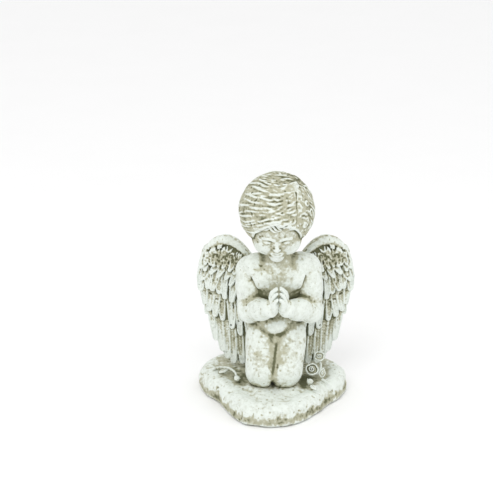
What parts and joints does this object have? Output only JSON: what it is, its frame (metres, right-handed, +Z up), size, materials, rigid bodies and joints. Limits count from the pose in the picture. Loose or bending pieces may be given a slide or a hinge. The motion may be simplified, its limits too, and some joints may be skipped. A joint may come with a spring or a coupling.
{
  "type": "angel figurine",
  "caption": "Free-standing resin figurine of a kneeling winged child praying on a heart-shaped rock, with a rose sprig and a budded twig.",
  "frame": {"origin": "on the surface it stands on, under the middle of the bounding box", "axes": "+Z up, the figure faces -Y, its own left side is at +X"},
  "size_m": [0.1136, 0.1053, 0.1715],
  "materials": {
    "figure_stone": "matte",
    "wing_stone": "matte",
    "base_stone": "matte",
    "flower_stone": "matte",
    "pin_steel": "satin",
    "foam": "matte"
  },
  "bodies": {
    "root": {"base": "base_stone", "body": "figure_stone", "head": "figure_stone", "left_arm": "figure_stone", "right_arm": "figure_stone", "left_wing": "wing_stone", "right_wing": "wing_stone", "left_wing_pin": "pin_steel", "right_wing_pin": "pin_steel", "neck_pin": "pin_steel", "rose_large": "flower_stone", "rose_upper": "flower_stone", "rose_side": "flower_stone", "rose_stem": "flower_stone", "rose_vine": "flower_stone", "rosebud": "flower_stone", "rose_leaf_front": "flower_stone", "twig": "flower_stone", "twig_bud": "flower_stone", "twig_leaf": "flower_stone", "foot_pad_front": "foam", "foot_pad_back": "foam", "foot_pad_left": "foam", "foot_pad_right": "foam"}
  },
  "joints": []
}
